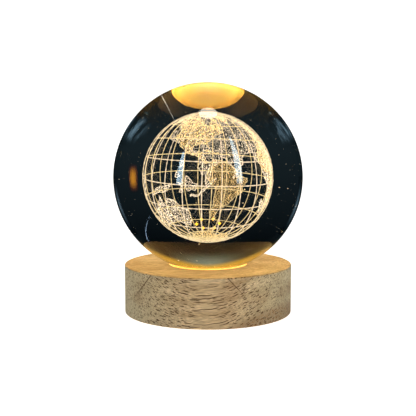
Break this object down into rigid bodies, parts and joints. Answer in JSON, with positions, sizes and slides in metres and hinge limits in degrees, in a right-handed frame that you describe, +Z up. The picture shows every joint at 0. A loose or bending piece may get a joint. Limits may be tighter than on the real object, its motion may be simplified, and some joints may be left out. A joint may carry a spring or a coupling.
{
  "type": "crystal ball lamp",
  "caption": "Solid glass ball with a globe engraved inside it, resting on a round wooden base whose lit recess shines up into the glass.",
  "frame": {"origin": "centre of the base on the surface that the lamp stands on", "axes": "+Z up, front towards -Y, socket and button at the back towards +Y"},
  "size_m": [0.08, 0.08, 0.0978],
  "materials": {
    "ball_glass": "polished",
    "engraved_lines": "frosted micro-cracks",
    "engraved_land": "frosted micro-cracks",
    "silicone": "clear satin",
    "wood": "sanded and oiled",
    "white_board": "white solder mask",
    "led_housing": "moulded",
    "led_phosphor": "filled",
    "resistor_ceramic": "glazed",
    "steel_screw": "zinc plated",
    "black_abs": "moulded",
    "drawn_steel": "drawn",
    "black_nylon": "moulded",
    "gold_contact": "gold flash",
    "green_board": "green solder mask",
    "white_acetal": "moulded",
    "button_plastic": "moulded",
    "spring_wire": "drawn",
    "tinned_brass": "tinned",
    "black_wire": "extruded",
    "red_wire": "extruded",
    "foot_rubber": "moulded"
  },
  "bodies": {
    "base": {"wooden_base": "wood", "led_board": "white_board", "board_screws": "steel_screw", "cover_screws": "steel_screw", "bottom_cover": "black_abs", "socket_shell": "drawn_steel", "socket_insulator": "black_nylon", "socket_contacts": "gold_contact", "socket_board": "green_board", "switch_body": "black_nylon", "switch_spring": "spring_wire", "switch_terminals": "tinned_brass", "wire_return": "black_wire", "wire_supply": "red_wire", "wire_switched": "red_wire", "led_housing_1": "led_housing", "led_phosphor_1": "led_phosphor", "led_housing_2": "led_housing", "led_phosphor_2": "led_phosphor", "led_housing_3": "led_housing", "led_phosphor_3": "led_phosphor", "led_housing_4": "led_housing", "led_phosphor_4": "led_phosphor", "led_housing_5": "led_housing", "led_phosphor_5": "led_phosphor", "led_housing_6": "led_housing", "led_phosphor_6": "led_phosphor", "resistor_1": "resistor_ceramic", "resistor_2": "resistor_ceramic", "resistor_3": "resistor_ceramic", "foot_1": "foot_rubber", "foot_2": "foot_rubber", "foot_3": "foot_rubber", "foot_4": "foot_rubber"},
    "seat": {"seat_ring": "silicone"},
    "ball": {"crystal_ball": "ball_glass", "engraved_graticule": "engraved_lines", "engraved_land": "engraved_land"},
    "button": {"switch_plunger": "white_acetal", "button_cap": "button_plastic"}
  },
  "joints": [
    {"name": "ball_turn", "type": "hinge", "parent": "base", "child": "seat", "pos_m": [0, 0, 0.0195], "axis": [0, 0, 1], "continuous": true},
    {"name": "ball_lift", "type": "slide", "parent": "seat", "child": "ball", "axis": [0, 0, 1], "range_m": [0, 0.06]},
    {"name": "button_press", "type": "slide", "parent": "base", "child": "button", "axis": [0, -1, 0], "range_m": [0, 0.0012], "stiffness_N_per_m": 500, "springref_m": -0.0015, "deforming": ["switch_spring"]}
  ]
}
